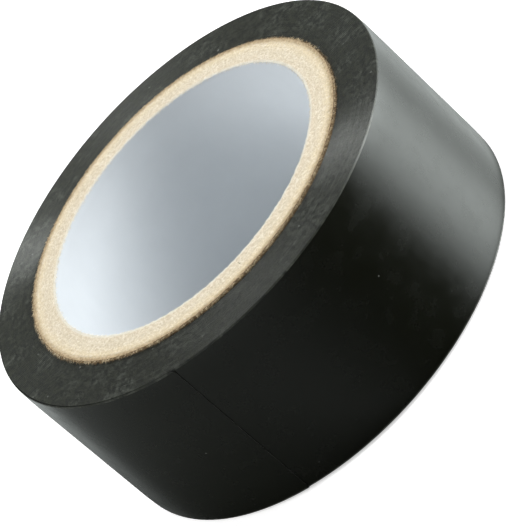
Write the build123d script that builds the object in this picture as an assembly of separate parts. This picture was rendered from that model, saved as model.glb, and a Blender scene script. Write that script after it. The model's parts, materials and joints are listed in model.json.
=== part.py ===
from build123d import *
import os
from math import cos, radians, sin, tan

# A roll of black PVC electrical tape on a spiral-wound paperboard core.
# Millimetres and degrees. The roll lies flat: its axis is +Z, the origin is on the axis at the
# lower end of the core, and the strip is wound counter-clockwise outwards as seen from above.

# Driving dimensions of the core
BORE_RADIUS = 15.875
LINER_THICKNESS = 0.16
PLY_THICKNESS = 0.39
PLY_COUNT = 7
CORE_LENGTH = 19.66

# Butt seams of the core's plies, slanted because each ply is a strip wound as a helix
LINER_SEAM_GAP = 0.08
PLY_SEAM_GAP = 0.16
SEAM_ANGLE_FROM_AXIS = 55.0
LINER_SEAM_AT = 270.0
SEAM_STAGGER = 137.5
SEAM_RUNOUT = 1.0

# Driving dimensions of the tape strip
TAPE_WIDTH = 19.0
FILM_THICKNESS = 0.105
ADHESIVE_THICKNESS = 0.025
WOUND_HALF_TURNS = 75
LAST_TURN_HALVES = 2

# The free end, which bends between short lengths of the strip
TAIL_LINKS = 5
TAIL_ANGLE = 59.5

# What follows from them
STRIP_THICKNESS = FILM_THICKNESS + ADHESIVE_THICKNESS
STRIP_LAYERS = {
    "adhesive": (0.0, ADHESIVE_THICKNESS),
    "film": (ADHESIVE_THICKNESS, STRIP_THICKNESS),
}
CORE_RADIUS = BORE_RADIUS + LINER_THICKNESS + PLY_COUNT * PLY_THICKNESS
TAPE_BOTTOM = (CORE_LENGTH - TAPE_WIDTH) / 2
FIRST_HALF_OF_LAST_TURN = WOUND_HALF_TURNS - LAST_TURN_HALVES
LINK_ANGLE = TAIL_ANGLE / TAIL_LINKS


def tube(inner, outer, length):
    """A plain tube that stands on the XY plane."""
    ring = Face(Wire(Edge.make_circle(outer)), [Wire(Edge.make_circle(inner))])
    return extrude(ring, length)


def seam_cutter(inner, outer, gap, at):
    """A thin slab, slanted from the axis, that parts one side of a tube along its whole length."""
    half_length = CORE_LENGTH / 2
    sideways = half_length * tan(radians(SEAM_ANGLE_FROM_AXIS))
    nearest = (inner**2 - sideways**2) ** 0.5 - SEAM_RUNOUT
    furthest = outer + SEAM_RUNOUT
    along = 2 * (half_length + SEAM_RUNOUT) / cos(radians(SEAM_ANGLE_FROM_AXIS))
    slab = Rotation(SEAM_ANGLE_FROM_AXIS, 0, 0) * Box(furthest - nearest, gap, along)
    return Rotation(0, 0, at) * Pos((nearest + furthest) / 2, 0, half_length) * slab


def core_ply(inner, thickness, gap, seam_at):
    """One ply of the core: a strip of paper whose two edges meet at a slanted butt seam."""
    outer = inner + thickness
    return tube(inner, outer, CORE_LENGTH) - seam_cutter(inner, outer, gap, seam_at)


def spiral_point(half, depth, angle):
    """A point of the spiral: which half turn it is on, how deep in the strip, and at what angle.

    Each half turn is a half circle that meets the next one without a corner. Even halves are
    above the X axis and centred on the roll's axis. Odd ones are below it and centred half a
    strip's thickness towards +X, so that a whole turn comes out one strip's thickness larger.
    """
    lower = half % 2
    radius = CORE_RADIUS + half * STRIP_THICKNESS / 2 + depth
    turned = radians(180 * lower + angle)
    return Vector(lower * STRIP_THICKNESS / 2 + radius * cos(turned), radius * sin(turned))


def spiral_arc(half, depth, start, sweep):
    """The counter-clockwise arc of one half turn that begins at start, 0 to 180, and turns by sweep."""
    angles = (start, start + sweep / 2, start + sweep)
    return Edge.make_three_point_arc(*(spiral_point(half, depth, a) for a in angles))


def strip_layer(depths, stretches):
    """One layer of the strip along some stretches of the spiral, each a half, a start and a sweep."""
    inside, outside = ([spiral_arc(h, d, a, s) for h, a, s in stretches] for d in depths)
    start = Edge.make_line(inside[0] @ 0, outside[0] @ 0)
    end = Edge.make_line(inside[-1] @ 1, outside[-1] @ 1)
    section = Face(Wire(inside + [end] + outside + [start]))
    return Pos(0, 0, TAPE_BOTTOM) * extrude(section, TAPE_WIDTH, dir=(0, 0, 1))


def half_turns(first, count):
    """Whole half turns as stretches of the spiral."""
    return [(half, 0.0, 180.0) for half in range(first, first + count)]


def core_parts():
    """The liner and the paperboard plies, from the bore outwards."""
    parts = {"core_liner": core_ply(BORE_RADIUS, LINER_THICKNESS, LINER_SEAM_GAP, LINER_SEAM_AT)}
    for number in range(1, PLY_COUNT + 1):
        inner = BORE_RADIUS + LINER_THICKNESS + (number - 1) * PLY_THICKNESS
        seam_at = LINER_SEAM_AT + number * SEAM_STAGGER
        parts[f"core_ply_{number}"] = core_ply(inner, PLY_THICKNESS, PLY_SEAM_GAP, seam_at)
    return parts


def tape_parts():
    """The film and the adhesive under it: the wound turns, the last whole turn and the free end."""
    parts = {}
    for layer, depths in STRIP_LAYERS.items():
        wound = half_turns(0, FIRST_HALF_OF_LAST_TURN)
        last_turn = half_turns(FIRST_HALF_OF_LAST_TURN, LAST_TURN_HALVES)
        parts[f"wound_{layer}"] = strip_layer(depths, wound)
        parts[f"last_turn_{layer}"] = strip_layer(depths, last_turn)
        for link in range(TAIL_LINKS):
            short_length = [(WOUND_HALF_TURNS, link * LINK_ANGLE, LINK_ANGLE)]
            parts[f"tail_{layer}_{link + 1}"] = strip_layer(depths, short_length)
    return parts


def print_bending_lines():
    """Where the free end bends: along lines on the outer face of the film."""
    for link in range(TAIL_LINKS):
        line = spiral_point(WOUND_HALF_TURNS, STRIP_THICKNESS, link * LINK_ANGLE)
        print(f"bending line {link + 1}: x {line.X:.4f} y {line.Y:.4f}")


os.makedirs("parts", exist_ok=True)
for name, solid in {**core_parts(), **tape_parts()}.items():
    solid.label = name
    export_step(solid, f"parts/{name}.step")
print_bending_lines()
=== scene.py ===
import json
from math import atan, cos, pi, radians, sin, sqrt, tan

import bpy
import numpy as np
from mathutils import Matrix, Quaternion, Vector, noise


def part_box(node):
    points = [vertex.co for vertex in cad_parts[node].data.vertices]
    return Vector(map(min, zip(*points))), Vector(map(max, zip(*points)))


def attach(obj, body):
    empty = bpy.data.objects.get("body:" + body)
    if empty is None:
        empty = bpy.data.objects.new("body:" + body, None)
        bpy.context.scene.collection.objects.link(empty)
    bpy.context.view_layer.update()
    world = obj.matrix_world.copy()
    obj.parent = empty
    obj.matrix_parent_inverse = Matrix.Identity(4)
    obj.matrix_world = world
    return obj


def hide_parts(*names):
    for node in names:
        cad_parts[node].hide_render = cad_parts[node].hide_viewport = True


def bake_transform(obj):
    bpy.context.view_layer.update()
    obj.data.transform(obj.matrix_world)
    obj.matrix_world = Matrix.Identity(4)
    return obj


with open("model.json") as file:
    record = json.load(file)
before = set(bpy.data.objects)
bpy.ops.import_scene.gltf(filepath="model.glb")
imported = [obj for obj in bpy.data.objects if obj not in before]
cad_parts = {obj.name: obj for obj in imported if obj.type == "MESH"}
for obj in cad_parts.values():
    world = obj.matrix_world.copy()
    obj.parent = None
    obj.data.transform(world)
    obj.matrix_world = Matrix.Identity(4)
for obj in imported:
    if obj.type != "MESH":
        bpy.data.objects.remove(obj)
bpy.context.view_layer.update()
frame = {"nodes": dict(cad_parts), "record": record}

# The looks of a roll of black electrical tape on a paperboard core, lying flat on a pale floor.
# Everything is in metres in the part's own frame: the roll's axis is +Z and the strip is wound
# counter-clockwise outwards as seen from above.

MM = 0.001


# ---------------------------------------------------------------- sizes, read from the frame

def node_radius(node):
    """The outer radius of a node that is round and centred on the axis."""
    low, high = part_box(node)
    return (high.x - low.x) / 2


def node_heights(node):
    """The lowest and highest Z of a node."""
    low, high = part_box(node)
    return low.z, high.z


PLY_NODES = ["core_liner"] + sorted(n for n in frame["nodes"] if n.startswith("core_ply_"))
TAIL_LINKS = sum(n.startswith("tail_film_") for n in frame["nodes"])
MOUNTS = {mount["name"]: mount for mount in frame["record"]["mounts"]}

BORE_RADIUS = MOUNTS["core_bore"]["dims"]["r_mm"] * MM
PLY_RADII = [node_radius(node) for node in PLY_NODES]
CORE_RADIUS = PLY_RADII[-1]
CORE_BOTTOM, CORE_TOP = node_heights("core_liner")
TAPE_BOTTOM, TAPE_TOP = node_heights("wound_film")

# The strip, as the part winds it: positions along it are counted in half turns
STRIP = 0.13 * MM
ADHESIVE = 0.025 * MM
WOUND_HALVES = 75
LAST_TURN_FROM = 73
TAIL_ANGLE = 59.5
LINK_HALVES = TAIL_ANGLE / TAIL_LINKS / 180
STRIP_END = WOUND_HALVES + TAIL_ANGLE / 180
JUST_SHORT = 1e-6

# The butt seams of the core's plies
SEAM_SLANT = tan(radians(55))
FIRST_SEAM_AT = 270.0
SEAM_STAGGER = 137.5
SEAM_GAP = 0.03 * MM

SHARP_ANGLE = 30


# ---------------------------------------------------------------- mesh helpers

def mesh_piece(name, vertices, faces, materials, face_materials=None):
    """An object with this mesh and these materials, which keeps its rest position for them."""
    mesh = bpy.data.meshes.new(name)
    mesh.from_pydata([tuple(v) for v in vertices], [], faces)
    for material in materials:
        mesh.materials.append(material)
    if face_materials is not None:
        mesh.polygons.foreach_set("material_index", np.asarray(face_materials, np.int32))
    mesh.polygons.foreach_set("use_smooth", np.full(len(faces), True))
    rest = mesh.attributes.new("rest_mm", "FLOAT_VECTOR", "POINT")
    rest.data.foreach_set("vector", (np.asarray(vertices) / MM).astype(np.float32).ravel())
    mesh.set_sharp_from_angle(angle=radians(SHARP_ANGLE))
    mesh.update()
    piece = bpy.data.objects.new(name, mesh)
    bpy.context.scene.collection.objects.link(piece)
    return piece


def sweep(name, sections, materials, side_materials=None, closed=False, last_cap=0):
    """A solid through a row of sections, each a closed loop of as many points.

    Its two ends are capped, or joined to each other if it is closed. The sides' and the last
    cap's materials are given by number, and the rest has the first material.
    """
    sections = np.asarray(sections)
    count, around = sections.shape[:2]
    faces, kinds = [], []
    for i in range(count if closed else count - 1):
        for j in range(around):
            k = (j + 1) % around
            a, b = i * around, (i + 1) % count * around
            faces.append((a + j, a + k, b + k, b + j))
            kinds.append(0 if side_materials is None else side_materials[j])
    if not closed:
        faces.append(tuple(range(around))[::-1])
        faces.append(tuple((count - 1) * around + j for j in range(around)))
        kinds += [0, last_cap]
    return mesh_piece(name, sections.reshape(-1, 3), faces, materials, kinds)


def wander(turns, seed, slowest=0.15, fastest=6.0, waves=16):
    """A smooth curve along the strip, mostly between -1 and 1, that doesn't repeat itself."""
    maker = np.random.default_rng(seed)
    rates = np.geomspace(slowest, fastest, waves) * maker.uniform(0.85, 1.15, waves)
    phases = maker.uniform(0, 2 * pi, waves)
    return np.sin(2 * pi * np.outer(turns, rates) + phases).sum(1) / sqrt(2 * waves)


def smooth_step(value):
    value = np.clip(value, 0, 1)
    return value * value * (3 - 2 * value)


# ---------------------------------------------------------------- material helpers

class Shader:
    """A short way to write a node tree."""

    def __init__(self, name):
        self.material = bpy.data.materials.new(name)
        self.material.use_nodes = True
        self.tree = self.material.node_tree
        self.tree.nodes.clear()
        self.out = self.tree.nodes.new("ShaderNodeOutputMaterial")
        self.bsdf = self.tree.nodes.new("ShaderNodeBsdfPrincipled")
        self.tree.links.new(self.bsdf.outputs[0], self.out.inputs["Surface"])

    def feed(self, socket, value):
        """Links an output to a socket, or sets the socket to a plain value."""
        if isinstance(value, bpy.types.NodeSocket):
            self.tree.links.new(value, socket)
        else:
            socket.default_value = value

    def set(self, **values):
        """Sets or links the shader's own sockets, named with underscores for spaces."""
        for name, value in values.items():
            self.feed(self.bsdf.inputs[name.replace("_", " ").title().replace("Ior", "IOR")], value)

    def math(self, operation, *values):
        node = self.tree.nodes.new("ShaderNodeMath")
        node.operation = operation
        for socket, value in zip(node.inputs, values):
            self.feed(socket, value)
        return node.outputs[0]

    def position(self):
        """The rest position in millimetres, as a vector and as its three numbers."""
        node = self.tree.nodes.new("ShaderNodeAttribute")
        node.attribute_name = "rest_mm"
        parts = self.tree.nodes.new("ShaderNodeSeparateXYZ")
        self.tree.links.new(node.outputs["Vector"], parts.inputs[0])
        return node.outputs["Vector"], parts.outputs[0], parts.outputs[1], parts.outputs[2]

    def radius(self):
        """The rest position's distance from the roll's axis, in millimetres."""
        _, x, y, _ = self.position()
        squares = self.math("ADD", self.math("MULTIPLY", x, x), self.math("MULTIPLY", y, y))
        return self.math("SQRT", squares)

    def vector(self, x, y, z):
        node = self.tree.nodes.new("ShaderNodeCombineXYZ")
        for socket, value in zip(node.inputs, (x, y, z)):
            self.feed(socket, value)
        return node.outputs[0]

    def polar(self, around, outwards, along):
        """A seamless vector that varies slowly round the axis and as fast as asked outwards."""
        _, x, y, z = self.position()
        radius = self.radius()
        across = self.math("MULTIPLY", radius, outwards)
        return self.vector(
            self.math("MULTIPLY", self.math("DIVIDE", x, radius), around),
            self.math("MULTIPLY", self.math("DIVIDE", y, radius), around),
            self.math("ADD", across, self.math("MULTIPLY", z, along)),
        )

    def noise(self, vector, scale, detail=2.0, roughness=0.5):
        node = self.tree.nodes.new("ShaderNodeTexNoise")
        self.feed(node.inputs["Vector"], vector)
        self.feed(node.inputs["Scale"], scale)
        self.feed(node.inputs["Detail"], detail)
        self.feed(node.inputs["Roughness"], roughness)
        return node.outputs["Fac"]

    def ramp(self, value, low, high, to_low=0.0, to_high=1.0):
        """Value from low to high becomes to_low to to_high, smoothly and held at the ends."""
        node = self.tree.nodes.new("ShaderNodeMapRange")
        node.interpolation_type = "SMOOTHSTEP"
        for name, number in (("Value", value), ("From Min", low), ("From Max", high),
                             ("To Min", to_low), ("To Max", to_high)):
            self.feed(node.inputs[name], number)
        return node.outputs["Result"]

    def mix(self, share, first, second):
        """A colour between two colours."""
        node = self.tree.nodes.new("ShaderNodeMix")
        node.data_type = "RGBA"
        self.feed(node.inputs["Factor"], share)
        for socket, colour in ((node.inputs[6], first), (node.inputs[7], second)):
            self.feed(socket, colour if isinstance(colour, bpy.types.NodeSocket) else (*colour, 1.0))
        return node.outputs[2]

    def specks(self, spacing, size, share):
        """1 in sparse round specks, 0 elsewhere: spacing and size in millimetres."""
        vector, *_ = self.position()
        node = self.tree.nodes.new("ShaderNodeTexVoronoi")
        self.feed(node.inputs["Vector"], vector)
        self.feed(node.inputs["Scale"], 1.0 / spacing)
        chosen = self.tree.nodes.new("ShaderNodeSeparateXYZ")
        self.tree.links.new(node.outputs["Color"], chosen.inputs[0])
        present = self.math("LESS_THAN", chosen.outputs[0], share)
        reach = self.math("MULTIPLY", chosen.outputs[1], size / spacing)
        inside = self.math("LESS_THAN", node.outputs["Distance"], reach)
        return self.math("MULTIPLY", present, inside)

    def hairs(self, scale, width):
        """1 along fine wandering lines, 0 elsewhere: scale is how many noise cells in a millimetre."""
        vector, *_ = self.position()
        cells = self.noise(vector, scale, 1.5)
        return self.ramp(self.math("ABSOLUTE", self.math("SUBTRACT", cells, 0.5)), width, 0.0)

    def bump(self, height, depth_mm, strength=1.0):
        """A normal from a height of 0 to 1 that stands for a depth in millimetres."""
        node = self.tree.nodes.new("ShaderNodeBump")
        self.feed(node.inputs["Height"], height)
        node.inputs["Distance"].default_value = depth_mm * MM
        node.inputs["Strength"].default_value = strength
        return node.outputs["Normal"]

    def outward_tangent(self):
        """The tangent that points away from the roll's axis, across its circular grooves."""
        node = self.tree.nodes.new("ShaderNodeTangent")
        node.direction_type = "RADIAL"
        node.axis = "Z"
        return node.outputs["Tangent"]


# ---------------------------------------------------------------- materials

# Colours, as linear red, green and blue
FACE_BLACK = (0.0036, 0.0041, 0.0018)
FACE_DUST = (0.06, 0.065, 0.055)
EDGE_DARK = (0.0020, 0.0024, 0.0005)
EDGE_LIGHT = (0.0220, 0.0243, 0.0150)
EDGE_SCUFF = (0.058, 0.064, 0.052)
EDGE_STREAK = (0.036, 0.038, 0.028)
EDGE_POWDER = (0.085, 0.090, 0.075)
EDGE_LINT = (0.17, 0.18, 0.165)
# The cut end's two tones are painted light: far paler than the black film, so that its shaded face
# doesn't show as a dark line
CUT_PAINTED_LIGHT_LOW = (0.040, 0.042, 0.038)
CUT_PAINTED_LIGHT_HIGH = (0.070, 0.073, 0.066)
ADHESIVE_DARK = (0.006, 0.006, 0.0055)
ADHESIVE_PULLED = (0.016, 0.0155, 0.014)
CREAM_DEEP = (0.55, 0.465, 0.325)
CREAM_PALE = (0.745, 0.68, 0.54)
CREAM_WARM = (0.69, 0.575, 0.35)
CREAM_BLOTCH = (0.60, 0.51, 0.37)
CREAM_BY_LINER = (0.70, 0.685, 0.61)
FIBRE_BRIGHT = (0.87, 0.83, 0.74)
FIBRE_GAP = (0.40, 0.32, 0.21)
HAIR_DARK = (0.44, 0.36, 0.24)
HAIR_PALE = (0.88, 0.84, 0.76)
GOLD_DEEP = (0.24, 0.165, 0.085)
GOLD_PALE = (0.50, 0.39, 0.24)
# The darkest brown is painted shade along the core's outer rim, beside the tape
GOLD_RIM_PAINTED_SHADE = (0.12, 0.075, 0.035)
LOOSE_PALE = ((0.68, 0.62, 0.50), (0.92, 0.89, 0.82))
LOOSE_GOLDEN = ((0.30, 0.20, 0.10), (0.80, 0.68, 0.46))
LINER_WHITE = ((0.64, 0.68, 0.71), (0.68, 0.72, 0.75))
FLOOR_GREY = (0.85, 0.85, 0.85, 1.0)
FLOOR_GLOW_COLOUR = (1.0, 1.0, 1.0, 1.0)

PVC_IOR = 1.5
ADHESIVE_IOR = 1.48
PAPER_IOR = 1.45

# How strongly the floor glows for the camera alone
FLOOR_GLOW = 0.55

# The core's two radii in millimetres, which its colours are placed by
BORE_MM = BORE_RADIUS / MM
CORE_MM = CORE_RADIUS / MM


def film_face():
    """The outer face of the film: smooth satin black PVC with a fine calendered grain."""
    s = Shader("pvc_film_face")
    vector, *_ = s.position()
    cloud = s.noise(vector, 0.5, 4.0, 0.6)
    waves = s.noise(s.polar(16.0, 0.0, 0.35), 1.0, 3.0, 0.5)
    grain = s.noise(vector, 7.0, 3.0, 0.6)
    dust = s.specks(1.6, 0.10, 0.12)
    height = s.math("ADD", s.math("MULTIPLY", waves, 0.7), s.math("MULTIPLY", grain, 0.08))
    s.set(
        base_color=s.mix(dust, FACE_BLACK, FACE_DUST),
        roughness=s.math("ADD", s.ramp(cloud, 0.3, 0.7, 0.21, 0.29), s.math("MULTIPLY", dust, 0.3)),
        normal=s.bump(height, 0.012),
        ior=PVC_IOR,
    )
    return s.material


def film_edge():
    """The slit edges of the film: matt, streaked round the roll by the knife, dusty and scuffed."""
    s = Shader("pvc_slit_edge")
    vector, *_ = s.position()
    streak = s.noise(s.polar(9.0, 5.0, 0.0), 1.0, 5.0, 0.65)
    fine = s.noise(s.polar(40.0, 22.0, 0.0), 1.0, 3.0, 0.6)
    blotch = s.noise(vector, 0.35, 3.0, 0.6)
    mottle = s.noise(vector, 1.6, 4.0, 0.7)
    powder = s.noise(vector, 6.0, 3.0, 0.8)
    scuff = s.math("MULTIPLY", s.ramp(mottle, 0.42, 0.66), s.ramp(blotch, 0.46, 0.62))
    dust = s.specks(1.0, 0.13, 0.16)
    lint = s.specks(2.3, 0.20, 0.14)
    base = s.mix(s.ramp(mottle, 0.38, 0.62), EDGE_DARK, EDGE_LIGHT)
    base = s.mix(scuff, base, EDGE_SCUFF)
    base = s.mix(s.math("MULTIPLY", s.ramp(fine, 0.45, 0.75), 0.35), base, EDGE_STREAK)
    base = s.mix(s.math("MULTIPLY", s.ramp(powder, 0.52, 0.75), 0.5), base, EDGE_POWDER)
    relief = s.math("ADD", s.math("MULTIPLY", streak, 0.6), s.math("MULTIPLY", fine, 0.5))
    relief = s.math("ADD", relief, s.math("MULTIPLY", powder, 0.7))
    s.set(
        base_color=s.mix(s.math("MAXIMUM", dust, lint), base, EDGE_LINT),
        roughness=s.ramp(s.math("ADD", streak, mottle), 0.7, 1.3, 0.50, 0.66),
        normal=s.bump(relief, 0.012),
        anisotropic=0.93,
        specular_ior_level=1.0,
        anisotropic_rotation=0.25,
        tangent=s.outward_tangent(),
        ior=PVC_IOR,
    )
    return s.material


def film_cut_end():
    """The cut across the strip's end, painted paler than the black film: painted light, so that it
    doesn't show as a dark line in its shade.
    """
    s = Shader("pvc_cut_end")
    vector, *_ = s.position()
    crack = s.noise(vector, 12.0, 3.0, 0.7)
    s.set(
        # Painted light: the cut end's colour is raised so that it doesn't read as a dark line in its
        # shade
        base_color=s.mix(crack, CUT_PAINTED_LIGHT_LOW, CUT_PAINTED_LIGHT_HIGH),
        roughness=s.ramp(crack, 0.3, 0.7, 0.55, 0.70),
        normal=s.bump(crack, 0.006),
        ior=PVC_IOR,
    )
    return s.material


def adhesive():
    """The rubber-resin adhesive: black and tacky, so it shines more than the film."""
    s = Shader("black_adhesive")
    vector, *_ = s.position()
    pull = s.noise(vector, 2.2, 4.0, 0.6)
    s.set(
        base_color=s.mix(pull, ADHESIVE_DARK, ADHESIVE_PULLED),
        roughness=s.ramp(pull, 0.3, 0.7, 0.16, 0.34),
        normal=s.bump(pull, 0.010),
        ior=ADHESIVE_IOR,
    )
    return s.material


def paperboard():
    """Cream paperboard: pulp, short fibres and hairs, golden brown towards the outside of the core, and
    painted shade darkening its outer rim.
    """
    s = Shader("cream_paperboard")
    vector, *_ = s.position()
    radius = s.radius()
    pulp = s.noise(s.polar(55.0, 5.0, 1.0), 1.0, 4.0, 0.7)
    fibre = s.noise(vector, 5.5, 5.0, 0.75)
    blotch = s.noise(vector, 0.9, 3.0, 0.6)
    frayed = s.math("ADD", radius, s.math("MULTIPLY", fibre, 0.45))
    outer = s.ramp(frayed, CORE_MM - 0.545, CORE_MM + 0.135)
    inner = s.ramp(radius, BORE_MM + 0.375, BORE_MM + 0.125)
    warm = s.ramp(radius, BORE_MM + 1.125, CORE_MM - 0.365, 0.0, 0.65)
    cream = s.mix(s.ramp(pulp, 0.30, 0.70), CREAM_DEEP, CREAM_PALE)
    cream = s.mix(warm, cream, CREAM_WARM)
    cream = s.mix(s.ramp(blotch, 0.40, 0.65, 0.0, 0.35), cream, CREAM_BLOTCH)
    cream = s.mix(s.math("MULTIPLY", s.ramp(fibre, 0.54, 0.68), 0.5), cream, FIBRE_BRIGHT)
    cream = s.mix(s.math("MULTIPLY", s.ramp(fibre, 0.46, 0.32), 0.5), cream, FIBRE_GAP)
    cream = s.mix(s.math("MULTIPLY", s.hairs(2.6, 0.06), 0.35), cream, HAIR_DARK)
    cream = s.mix(s.math("MULTIPLY", s.hairs(1.9, 0.05), 0.40), cream, HAIR_PALE)
    cream = s.mix(s.math("MULTIPLY", inner, 0.75), cream, CREAM_BY_LINER)
    golden = s.mix(s.ramp(pulp, 0.32, 0.68), GOLD_DEEP, GOLD_PALE)
    # Painted shade: the core's outer rim is darkened over its last 0.09 mm
    golden = s.mix(s.ramp(radius, CORE_MM - 0.085, CORE_MM + 0.005), golden, GOLD_RIM_PAINTED_SHADE)
    s.set(
        base_color=s.mix(outer, cream, golden),
        roughness=0.9,
        normal=s.bump(s.math("ADD", pulp, fibre), 0.06),
        ior=PAPER_IOR,
    )
    return s.material


def loose_fibre():
    """The loose fibres on the core's rims, each its own tone: pale in the bore, golden outside."""
    s = Shader("loose_paper_fibre")
    vector, *_ = s.position()
    tone = s.noise(vector, 2.5, 2.0)
    share = s.ramp(tone, 0.35, 0.65)
    outwards = s.ramp(s.radius(), BORE_MM + 0.625, CORE_MM - 0.765)
    s.set(
        base_color=s.mix(outwards, s.mix(share, *LOOSE_PALE), s.mix(share, *LOOSE_GOLDEN)),
        roughness=s.ramp(tone, 0.35, 0.65, 0.8, 0.95),
        normal=s.bump(s.noise(vector, 30.0, 2.0), 0.004),
        ior=PAPER_IOR,
    )
    return s.material


def liner_paper():
    """The smooth white paper of the bore, a little shiny and cool in colour."""
    s = Shader("white_liner_paper")
    vector, *_ = s.position()
    tone = s.noise(vector, 0.5, 3.0)
    fibre = s.noise(vector, 14.0, 4.0, 0.6)
    s.set(
        base_color=s.mix(tone, *LINER_WHITE),
        roughness=s.ramp(fibre, 0.3, 0.7, 0.48, 0.6),
        normal=s.bump(fibre, 0.003),
        ior=PAPER_IOR,
    )
    return s.material


def floor_paint():
    """A plain pale floor, which looks a little brighter than it is so that the shadow stays light."""
    s = Shader("pale_floor")
    path = s.tree.nodes.new("ShaderNodeLightPath")
    glow = s.math("MULTIPLY", path.outputs["Is Camera Ray"], FLOOR_GLOW)
    s.set(base_color=FLOOR_GREY, roughness=0.9)
    s.set(emission_color=FLOOR_GLOW_COLOUR, emission_strength=glow)
    return s.material


FILM_FACE = film_face()
FILM_EDGE = film_edge()
CUT_END = film_cut_end()
ADHESIVE_FINISH = adhesive()
BOARD = paperboard()
FIBRE = loose_fibre()
LINER = liner_paper()


# ---------------------------------------------------------------- the spiral of the strip

def spiral(position, depth):
    """Points of the spiral: position in half turns from the strip's start, depth in the strip.

    Even halves are centred on the axis and odd ones half a strip's thickness towards +X.
    """
    half = min(int(position), WOUND_HALVES)
    lower = half % 2
    radius = CORE_RADIUS + half * STRIP / 2 + np.asarray(depth)
    turned = pi * (lower + position - half)
    return lower * STRIP / 2 + radius * cos(turned), radius * sin(turned)


def strip_sections(positions, loop):
    """Sections of the strip: loop gives for each position's number its (depth, height) points."""
    sections = []
    for index, position in enumerate(positions):
        points = loop(index)
        x, y = spiral(position, points[:, 0])
        sections.append(np.stack([x, y, points[:, 1]], 1))
    return sections


# The winding's outer edge is rounded over with this radius, which a slit edge follows almost to its end
SHOULDER = 0.18 * MM
SHOULDER_LIMIT = 0.98

# The share of a turn over which the strip's cover grows from one turn to the next
COVER_EASE = 0.04


def turns_over(position):
    """How many turns of the strip lie over this position."""
    remaining = (STRIP_END - position) / 2
    whole = int(remaining)
    return 0.0 if whole < 1 else whole - 1 + smooth_step((remaining - whole) / COVER_EASE)


def shoulder_drop(position, depths):
    """How far the slit edges fall back where the winding's outer edge is rounded over."""
    below = turns_over(position) * STRIP + STRIP - depths
    into = np.clip(SHOULDER - below, 0, SHOULDER * SHOULDER_LIMIT)
    return SHOULDER - np.sqrt(SHOULDER**2 - into**2)


# The small bevel of the film's edge beside the adhesive
FILM_BEVEL = 0.008 * MM


def film_loop(position, lift, tilt, corner_points, corner, face_heights):
    """A film's section: both slit edges, with a rounded outer corner, and its outer face.

    lift is how far each edge stands back from the strip's full width, and tilt is its slant.
    """
    bend = np.linspace(0, pi / 2, corner_points)
    depths = np.concatenate([[ADHESIVE, ADHESIVE + FILM_BEVEL], STRIP - corner + corner * np.sin(bend)])
    insets = np.concatenate([[FILM_BEVEL, 0], corner - corner * np.cos(bend)])
    insets = insets + shoulder_drop(position, depths) + tilt * (depths - (ADHESIVE + STRIP) / 2)
    lower = np.stack([depths, TAPE_BOTTOM + abs(lift[0]) + insets], 1)
    upper = np.stack([depths, TAPE_TOP - abs(lift[1]) - insets], 1)[::-1]
    face = [(STRIP, height) for height in face_heights]
    return np.array([*lower, *face, *upper])


def film_sides(corner_points, rows):
    """Which sides of a film's section are slit edge, 1, and which are face, 0."""
    edge = 1 + corner_points
    return [1] * edge + [0] * rows + [1] * edge + [0]


# Mesh steps in a half turn of the wound strip
STEPS_PER_HALF = 80

# The slit edges of the wound turns: how far they stand back, their slant, and their outer corner
EDGE_WANDER = 0.010 * MM
EDGE_SEEDS = (11, 12)
MEAN_SLANT = -0.17
SLANT_WANDER = 0.06
SLANT_SEED = 13
SLANT_FASTEST = 9.0
WOUND_CORNER = 0.010 * MM
WOUND_CORNER_POINTS = 2


def wound_film():
    """The wound turns, whose slit edges stand at slightly uneven heights and slants."""
    positions = np.linspace(0, LAST_TURN_FROM, LAST_TURN_FROM * STEPS_PER_HALF + 1)
    turns = positions / 2
    lifts = np.stack([wander(turns, seed) for seed in EDGE_SEEDS], 1) * EDGE_WANDER
    tilts = MEAN_SLANT + wander(turns, SLANT_SEED, fastest=SLANT_FASTEST) * SLANT_WANDER

    def loop(index):
        lift, tilt = lifts[index], tilts[index]
        return film_loop(positions[index], lift, tilt, WOUND_CORNER_POINTS, WOUND_CORNER, ())

    sides = film_sides(WOUND_CORNER_POINTS, 1)
    piece = sweep("wound_turns", strip_sections(positions, loop), [FILM_FACE, FILM_EDGE], sides)
    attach(piece, "roll")
    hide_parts("wound_film")


# The outermost film: how far its face rolls off at the edges and thins at the end, and over what reach
ROLL_OFF = 0.075 * MM
ROLL_OFF_REACH = 2.4 * MM
END_THINNING = 0.045 * MM
END_THINNING_REACH = 1.2 * MM
OUTER_CORNER = 0.05 * MM
OUTER_CORNER_POINTS = 5
LAST_TURN_STEPS = 400
LINK_STEPS = 24

# How far from each edge the face has a row of points
FACE_STATIONS = np.array([0.30, 0.55, 0.85, 1.2, 1.6, 2.4, 3.8, 5.5, 7.5]) * MM

# The face's faint waves, as (how many in a whole turn, shift over the width, start), all of one height
FACE_WAVES = ((3, 4, 0), (8, -7, 1), (13, 0, 2))
WAVE_HEIGHT = 0.0012 * MM


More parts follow.
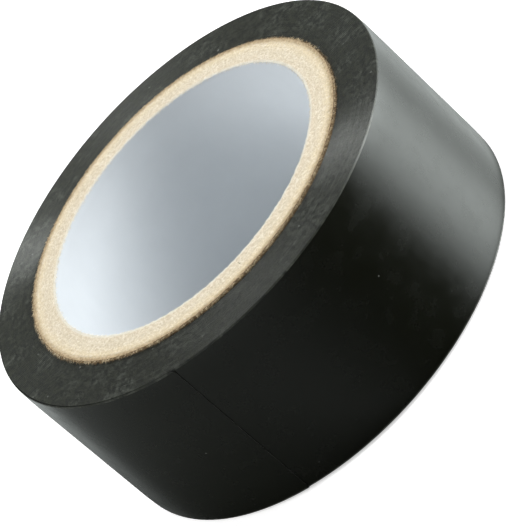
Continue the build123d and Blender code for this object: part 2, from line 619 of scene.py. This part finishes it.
def outer_film(name, first, last, steps):
    """A length of the outermost film: it rolls off a little towards its edges and is faintly wavy."""
    middle = (TAPE_BOTTOM + TAPE_TOP) / 2
    face = [*(TAPE_BOTTOM + FACE_STATIONS), middle, *(TAPE_TOP - FACE_STATIONS[::-1])]
    positions = np.linspace(first, last, steps + 1)

    def loop(index):
        points = film_loop(positions[index], (0, 0), 0.0, OUTER_CORNER_POINTS, OUTER_CORNER, face)
        turned = positions[index] * pi
        height = (points[:, 1] - TAPE_BOTTOM) / (TAPE_TOP - TAPE_BOTTOM)
        wave = sum(np.sin(rate * turned + rise * height + start) for rate, rise, start in FACE_WAVES)
        from_edge = np.minimum(points[:, 1] - TAPE_BOTTOM, TAPE_TOP - points[:, 1])
        roll_off = ROLL_OFF * np.clip(1 - from_edge / ROLL_OFF_REACH, 0, 1) ** 2
        to_end = (STRIP_END - positions[index]) * pi * CORE_RADIUS
        thinned = END_THINNING * np.clip(1 - to_end / END_THINNING_REACH, 0, 1) ** 2
        share = np.clip((points[:, 0] - ADHESIVE) / (STRIP - ADHESIVE), 0, 1)
        points[:, 0] += share * (WAVE_HEIGHT * (wave - len(FACE_WAVES)) - roll_off - thinned)
        return points

    sides = film_sides(OUTER_CORNER_POINTS, len(face) + 1)
    finishes = [FILM_FACE, FILM_EDGE]
    last_cap = 0
    if last > STRIP_END - JUST_SHORT:
        last_cap = len(finishes)
        finishes.append(CUT_END)
    return sweep(name, strip_sections(positions, loop), finishes, sides, last_cap=last_cap)


def last_turn_film():
    """The last whole turn, most of the roll's outer face."""
    piece = outer_film("last_turn", LAST_TURN_FROM, WOUND_HALVES - JUST_SHORT, LAST_TURN_STEPS)
    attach(piece, "roll")
    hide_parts("last_turn_film")


# How far the adhesive stands back from the film's slit edges
ADHESIVE_SET_BACK = 0.012 * MM


def adhesive_strip(name, first, last, steps):
    """A length of the adhesive, a little short of the film at both edges."""
    positions = np.linspace(first, last, steps + 1)
    depths = np.array([0, ADHESIVE, ADHESIVE, 0])
    edges = np.array([TAPE_BOTTOM, TAPE_BOTTOM, TAPE_TOP, TAPE_TOP])
    inwards = np.array([1, 1, -1, -1])

    def loop(index):
        back = ADHESIVE_SET_BACK + shoulder_drop(positions[index], depths)
        return np.stack([depths, edges + back * inwards], 1)

    return sweep(name, strip_sections(positions, loop), [ADHESIVE_FINISH])


def wound_adhesive():
    """The adhesive between the wound turns, and under the last whole turn."""
    for name, node, first, last in (
        ("wound_turns_adhesive", "wound_adhesive", 0, LAST_TURN_FROM),
        ("last_turn_adhesive_layer", "last_turn_adhesive", LAST_TURN_FROM, WOUND_HALVES - JUST_SHORT),
    ):
        piece = adhesive_strip(name, first, last, round(last - first) * STEPS_PER_HALF)
        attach(piece, "roll")
        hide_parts(node)


def free_end():
    """The free end in short lengths, one for each of the part's tail links, each with its adhesive."""
    for link in range(TAIL_LINKS):
        number = link + 1
        first = WOUND_HALVES + link * LINK_HALVES
        last = first + LINK_HALVES
        film = outer_film(f"free_end_{number}", first, last, LINK_STEPS)
        glue = adhesive_strip(f"free_end_adhesive_{number}", first, last, LINK_STEPS)
        for piece, node, slot in (
            (film, f"tail_film_{number}", "pvc_film"),
            (glue, f"tail_adhesive_{number}", "adhesive"),
        ):
            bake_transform(piece)
            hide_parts(node)


# ---------------------------------------------------------------- the core

# The rough cut of the paper: its depth, how much deeper it is at the plies' borders and in a seam, and
# how many times deeper on the liner, whose edge is torn
PAPER_RELIEF = 0.05 * MM
PLY_LINE_DEPTH = 0.02 * MM
SEAM_DEPTH = 0.25 * MM
LINER_TEAR = 2.6

# The relief's middle, and its waves as (share, how many in a millimetre)
RELIEF_MIDDLE = 0.45
RELIEF_WAVES = ((0.6, 2.4), (0.35, 7.0))

# Points on both sides of a seam, in half widths of its cut, and what still counts as inside the cut
SEAM_POINTS = (-1.3, -1, 1, 1.3)
SEAM_INSIDE = 1.01


def paper_relief(x, y):
    """How far the cut paper stands back from the core's end at a place, 0 to 1."""
    place = Vector((x / MM, y / MM, 0))
    waves = sum(share * noise.noise(place * rate) for share, rate in RELIEF_WAVES)
    return min(1.0, max(0.0, RELIEF_MIDDLE + waves))


def set_back(x, y, at_ply_line):
    """The depth of the relief in metres at some places, a little more along the plies' borders."""
    relief = np.array([paper_relief(*place) for place in zip(x, y)])
    return relief * (PAPER_RELIEF + np.where(at_ply_line, PLY_LINE_DEPTH, 0))


def seam_angle(number, radius, z):
    """Where a ply's slanted butt seam is at a height, as an angle round the axis."""
    seam_at = radians(FIRST_SEAM_AT + number * SEAM_STAGGER)
    return seam_at - np.arcsin((z - (CORE_BOTTOM + CORE_TOP) / 2) * SEAM_SLANT / radius)


def core_liner():
    """The smooth liner, from one side of its slanted butt seam round to the other."""
    across, levels, steps = 3, 24, 960
    inner, outer = BORE_RADIUS, PLY_RADII[0]
    rise = np.linspace(CORE_BOTTOM, CORE_TOP, levels + 1)
    radii = np.concatenate([np.linspace(inner, outer, across), np.full(levels - 1, outer),
                            np.linspace(outer, inner, across), np.full(levels - 1, inner)])
    heights = np.concatenate([np.full(across, CORE_BOTTOM), rise[1:-1],
                              np.full(across, CORE_TOP), rise[-2:0:-1]])
    inwards = np.where(heights >= CORE_TOP, -1, np.where(heights <= CORE_BOTTOM, 1, 0))
    start = seam_angle(0, (inner + outer) / 2, heights)
    half_gap = SEAM_GAP / 2 / inner / cos(atan(SEAM_SLANT))
    sections = []
    for turned in np.linspace(half_gap, 2 * pi - half_gap, steps + 1):
        x, y = radii * np.cos(start + turned), radii * np.sin(start + turned)
        sections.append(np.stack([x, y, heights + inwards * LINER_TEAR * set_back(x, y, False)], 1))
    sides = ([1] * (across - 1) + [0] * levels) * 2
    piece = sweep("core_liner_paper", sections, [LINER, BOARD], sides)
    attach(piece, "roll")
    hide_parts("core_liner")


def core_ply(number):
    """One paperboard ply: a ring with rough cut ends, in which its seam shows as a fine cut."""
    across, steps = 5, 640
    inner, outer = PLY_RADII[number - 1], PLY_RADII[number]
    middle = (inner + outer) / 2
    radii = np.linspace(inner, outer, across)
    loop_radii = np.concatenate([radii, radii[::-1]])
    ends = np.repeat([CORE_BOTTOM, CORE_TOP], across)
    inwards = np.repeat([1, -1], across)
    at_line = (loop_radii <= inner) | (loop_radii >= outer)
    seams = [seam_angle(number, middle, z) % (2 * pi) for z in (CORE_BOTTOM, CORE_TOP)]
    cut = SEAM_GAP / 2 / middle / cos(atan(SEAM_SLANT))
    near_seams = [seam + side * cut for seam in seams for side in SEAM_POINTS]
    sections = []
    for angle in sorted([*np.linspace(0, 2 * pi, steps, endpoint=False), *near_seams]):
        x, y = loop_radii * cos(angle), loop_radii * sin(angle)
        in_seam = np.repeat([abs(angle - seam) < SEAM_INSIDE * cut for seam in seams], across)
        depth = set_back(x, y, at_line) + np.where(in_seam, SEAM_DEPTH, 0)
        sections.append(np.stack([x, y, ends + inwards * depth], 1))
    piece = sweep(f"core_ply_{number}_board", sections, [BOARD], closed=True)
    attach(piece, "roll")
    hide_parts(f"core_ply_{number}")


# Loose fibres at each end of the core: the outer rim and the bore's rim, as (radius, which way they
# stand out, how many, shortest and longest)
FIBRE_RIMS = (
    (CORE_RADIUS, 1, 3600, 0.16 * MM, 0.46 * MM),
    (BORE_RADIUS, -1, 1800, 0.12 * MM, 0.34 * MM),
)
FIBRE_STATIONS = 3
FIBRE_SIDES = 3
FIBRE_SEED = 77

# A fibre's ranges in millimetres: its root behind the rim and below the core's end, and its width
FIBRE_BEHIND_RIM = (0.0, 0.12)
FIBRE_BELOW_END = (0.035, 0.08)
FIBRE_WIDTH = (0.010, 0.022)

# Its direction: the spread along the rim and the rise at its root, then how it curls and droops
FIBRE_SPREAD = 1.0
FIBRE_RISE = (-0.45, 0.05)
FIBRE_CURL = 0.9
FIBRE_DROOP = (0, 0.5)
FIBRE_TAPER = 0.7


def fibre_sections(maker, end, upwards, rim, outwards, shortest, longest):
    """The sections of one curled fibre that tapers from its root in the paper to its tip."""
    angle = maker.uniform(0, 2 * pi)
    out = Vector((cos(angle), sin(angle), 0))
    along = Vector((-sin(angle), cos(angle), 0))
    up = Vector((0, 0, upwards))
    root = out * (rim - outwards * maker.uniform(*FIBRE_BEHIND_RIM) * MM)
    root.z = end - upwards * maker.uniform(*FIBRE_BELOW_END) * MM
    heading = out * outwards + along * maker.normal(0, FIBRE_SPREAD) + up * maker.uniform(*FIBRE_RISE)
    heading.normalize()
    curl = along * maker.normal(0, FIBRE_CURL) - up * maker.uniform(*FIBRE_DROOP)
    length = maker.uniform(shortest, longest)
    width = maker.uniform(*FIBRE_WIDTH) * MM
    sections = []
    for t in np.linspace(0, 1, FIBRE_STATIONS):
        centre = root + (heading * t + curl * t * t * 0.5) * length
        taper = width * (1 - FIBRE_TAPER * t)
        for turned in np.linspace(0, 2 * pi, FIBRE_SIDES, endpoint=False):
            sections.append(centre + (along * cos(turned) + Vector((0, 0, sin(turned)))) * taper)
    return sections


def fibre_faces(base):
    """The sides and the two ends of a fibre, whose first point has this number."""
    tip = base + FIBRE_SIDES * (FIBRE_STATIONS - 1)
    faces = []
    for low in range(base, tip, FIBRE_SIDES):
        high = low + FIBRE_SIDES
        for j in range(FIBRE_SIDES):
            k = (j + 1) % FIBRE_SIDES
            faces.append((low + j, low + k, high + k, high + j))
    faces.append(tuple(range(base, base + FIBRE_SIDES))[::-1])
    faces.append(tuple(range(tip, tip + FIBRE_SIDES)))
    return faces


def core_fibres():
    """Loose paper fibres that stand out of the cut edges of the core, at both ends."""
    maker = np.random.default_rng(FIBRE_SEED)
    vertices, faces = [], []
    for end, upwards in ((CORE_TOP, 1), (CORE_BOTTOM, -1)):
        for rim, outwards, count, shortest, longest in FIBRE_RIMS:
            for _ in range(count):
                faces += fibre_faces(len(vertices))
                vertices += fibre_sections(maker, end, upwards, rim, outwards, shortest, longest)
    piece = mesh_piece("core_edge_fibres", vertices, faces, [FIBRE])
    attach(piece, "roll")


# ---------------------------------------------------------------- camera, light and floor

CAMERA_ELEVATION = 29.47
CAMERA_ROLL = 48.26
CAMERA_DISTANCE = 0.32866
CAMERA_LENS = 239.5
CAMERA_SENSOR = 36
CAMERA_AIM = Vector((0.00009, -0.00453, 0.01130))


def camera():
    """Seen from the front and above, with the camera turned clockwise about its own line of sight."""
    tilt = radians(CAMERA_ELEVATION)
    back = Vector((0, -cos(tilt), sin(tilt)))
    data = bpy.data.cameras.new("camera")
    data.lens = CAMERA_LENS
    data.sensor_width = CAMERA_SENSOR
    data.clip_start, data.clip_end = 0.01, 20
    eye = bpy.data.objects.new("camera", data)
    eye.rotation_mode = "QUATERNION"
    level = (-back).to_track_quat("-Z", "Y")
    eye.rotation_quaternion = level @ Quaternion((0, 0, 1), radians(-CAMERA_ROLL))
    eye.location = CAMERA_AIM + back * CAMERA_DISTANCE
    bpy.context.scene.collection.objects.link(eye)
    bpy.context.scene.camera = eye


# Soft lights, as (azimuth, elevation, distance, width, height, power, which surfaces, colour): azimuth
# is clockwise from +Y. A light is for matt surfaces or for glossy ones, which mirror it. The key and
# the top light have one for each.
WHITE = (1.0, 1.0, 1.0)
SOFTBOXES = {
    "key": (101, 26, 0.5, 0.30, 0.30, 2.8, "matt", WHITE),
    "key_mirrored": (101, 26, 0.5, 0.15, 0.20, 3.3, "glossy", (0.96, 1.0, 0.97)),
    "fill": (281, 33, 0.9, 0.6, 0.5, 5.1, "matt", WHITE),
    "top": (350, 72, 0.9, 0.22, 0.22, 1.75, "matt", WHITE),
    "top_mirrored": (350, 72, 0.9, 0.22, 0.22, 2.7, "glossy", (0.97, 1.0, 0.98)),
}


def softbox(name, azimuth, elevation, distance, width, height, power, surfaces, colour):
    """An area light aimed at the roll, for its matt or its glossy surfaces."""
    a, e = radians(azimuth), radians(elevation)
    towards = Vector((sin(a) * cos(e), cos(a) * cos(e), sin(e)))
    data = bpy.data.lights.new(name, "AREA")
    data.shape = "RECTANGLE"
    data.size, data.size_y = width, height
    data.energy = power
    data.color = colour
    lamp = bpy.data.objects.new(name, data)
    lamp.rotation_mode = "QUATERNION"
    lamp.rotation_quaternion = towards.to_track_quat("Z", "Y")
    lamp.location = Vector((0, 0, CORE_TOP / 2)) + towards * distance
    lamp.visible_glossy = surfaces == "glossy"
    lamp.visible_diffuse = surfaces == "matt"
    bpy.context.scene.collection.objects.link(lamp)


class WorldTree(Shader):
    """The same short way to write nodes, for the studio that surrounds the roll."""

    def __init__(self, name):
        world = bpy.data.worlds.new(name)
        world.use_nodes = True
        world.cycles.sampling_method = "NONE"
        bpy.context.scene.world = world
        self.tree = world.node_tree
        self.tree.nodes.clear()
        self.out = self.tree.nodes.new("ShaderNodeOutputWorld")
        self.background = self.tree.nodes.new("ShaderNodeBackground")
        self.tree.links.new(self.background.outputs[0], self.out.inputs["Surface"])


# What the glossy film reflects: walls of light round the roll, as (azimuth, half width, edge,
# strength). The last one is a flag, which takes light away.
STUDIO_WALLS = (
    (90.0, 20.6, 33.0, 2.88),
    (57.0, 49.0, 50.0, 1.02),
    (337.0, 13.0, 26.0, 0.55),
    (275.0, 95.0, 60.0, 0.212),
    (4.0, 16.0, 16.0, -0.24),
)
# How the walls' strength changes with height, as steps (from, to, factor below, factor above)
STUDIO_HEIGHTS = (
    (-0.62, -0.53, 0.6, 1.0),
    (-0.50, -0.37, 1.0, 1.65),
    (-0.34, -0.22, 1.0, 0.8),
    (-0.10, 0.0, 1.0, 1.85),
)
STUDIO_TINT = (0.93, 1.0, 0.975)
STUDIO_BASE = 0.02

# Between these heights of a direction the walls give way to the sky
HORIZON_LOW, HORIZON_HIGH = -0.05, 0.15
SKY_STRENGTH = 0.35
ROOM_STRENGTH = 0.38


def studio():
    """A pale room for diffuse light, and soft walls of light for what the film reflects."""
    w = WorldTree("studio")
    coordinates = w.tree.nodes.new("ShaderNodeTexCoord")
    parts = w.tree.nodes.new("ShaderNodeSeparateXYZ")
    w.tree.links.new(coordinates.outputs["Generated"], parts.inputs[0])
    x, y, z = parts.outputs[0], parts.outputs[1], parts.outputs[2]
    total = STUDIO_BASE
    for azimuth, half_width, edge, strength in STUDIO_WALLS:
        s, c = sin(radians(azimuth)), cos(radians(azimuth))
        ahead = w.math("ADD", w.math("MULTIPLY", x, s), w.math("MULTIPLY", y, c))
        aside = w.math("SUBTRACT", w.math("MULTIPLY", x, c), w.math("MULTIPLY", y, s))
        off = w.math("ABSOLUTE", w.math("ARCTAN2", aside, ahead))
        level = w.ramp(off, radians(half_width - edge / 2), radians(half_width + edge / 2), strength, 0.0)
        total = w.math("ADD", level, total)
    for low, high, at_low, at_high in STUDIO_HEIGHTS:
        total = w.math("MULTIPLY", total, w.ramp(z, low, high, at_low, at_high))
    walls = w.math("MULTIPLY", total, w.ramp(z, HORIZON_HIGH, HORIZON_LOW))
    sky = w.ramp(z, HORIZON_LOW, HORIZON_HIGH, 0.0, SKY_STRENGTH)
    path = w.tree.nodes.new("ShaderNodeLightPath")
    glossy = path.outputs["Is Glossy Ray"]
    seen = w.math("MULTIPLY", glossy, w.math("ADD", walls, sky))
    unseen = w.math("MULTIPLY", w.math("SUBTRACT", 1.0, glossy), ROOM_STRENGTH)
    w.feed(w.background.inputs["Strength"], w.math("ADD", seen, unseen))
    w.feed(w.background.inputs["Color"], w.mix(glossy, WHITE, STUDIO_TINT))


FLOOR_HALF = 3.0


def floor():
    """A plain pale floor, which the roll does not mirror."""
    corners = [(x * FLOOR_HALF, y * FLOOR_HALF, 0) for x, y in ((-1, -1), (1, -1), (1, 1), (-1, 1))]
    piece = mesh_piece("floor", corners, [(0, 1, 2, 3)], [floor_paint()])
    piece.visible_glossy = False


# The shade's width beyond the roll in millimetres, towards the key and away from it, between these
# shares of the way across, and its darkness at the roll
SHADE_NARROW = 0.8
SHADE_WIDE = 24.0
SHADE_NARROW_FROM = 0.1
SHADE_WIDE_FROM = -0.8
SHADE_DEPTH = 0.80

# The grid that carries it
SHADE_HALF = 0.1
SHADE_ROWS = 20


def floor_shade():
    """What the film mirrors of the shaded floor close to the roll, wide on the side away from the key."""
    s = Shader("floor_shade")
    _, x, _, _ = s.position()
    radius = s.radius()
    across = s.math("DIVIDE", x, radius)
    width = s.ramp(across, SHADE_NARROW_FROM, SHADE_WIDE_FROM, SHADE_NARROW, SHADE_WIDE)
    beyond = s.math("SUBTRACT", radius, node_radius("last_turn_film") / MM)
    faded = s.math("MINIMUM", 1.0, s.math("DIVIDE", beyond, width))
    shade = s.math("MULTIPLY", s.math("SUBTRACT", 1.0, faded), SHADE_DEPTH)
    clear = s.tree.nodes.new("ShaderNodeBsdfTransparent")
    dark = s.tree.nodes.new("ShaderNodeBsdfDiffuse")
    dark.inputs["Color"].default_value = (0, 0, 0, 1)
    mix = s.tree.nodes.new("ShaderNodeMixShader")
    s.feed(mix.inputs[0], shade)
    s.feed(mix.inputs[1], clear.outputs[0])
    s.feed(mix.inputs[2], dark.outputs[0])
    s.tree.links.new(mix.outputs[0], s.out.inputs["Surface"])

    ticks = np.linspace(-SHADE_HALF, SHADE_HALF, SHADE_ROWS + 1)
    corners = [(x, y, 0) for y in ticks for x in ticks]
    per_row = len(ticks)
    starts = [i * per_row + j for i in range(SHADE_ROWS) for j in range(SHADE_ROWS)]
    faces = [(a, a + 1, a + 1 + per_row, a + per_row) for a in starts]
    piece = mesh_piece("mirrored_floor_shade", corners, faces, [s.material])
    piece.visible_camera = False
    piece.visible_diffuse = False
    piece.visible_transmission = False
    piece.visible_shadow = False


camera()
studio()
for name, settings in SOFTBOXES.items():
    softbox(name, *settings)
floor()
floor_shade()
core_liner()
for ply in range(1, len(PLY_NODES)):
    core_ply(ply)
core_fibres()
wound_film()
wound_adhesive()
last_turn_film()
free_end()
bpy.context.scene.view_settings.view_transform = "Standard"
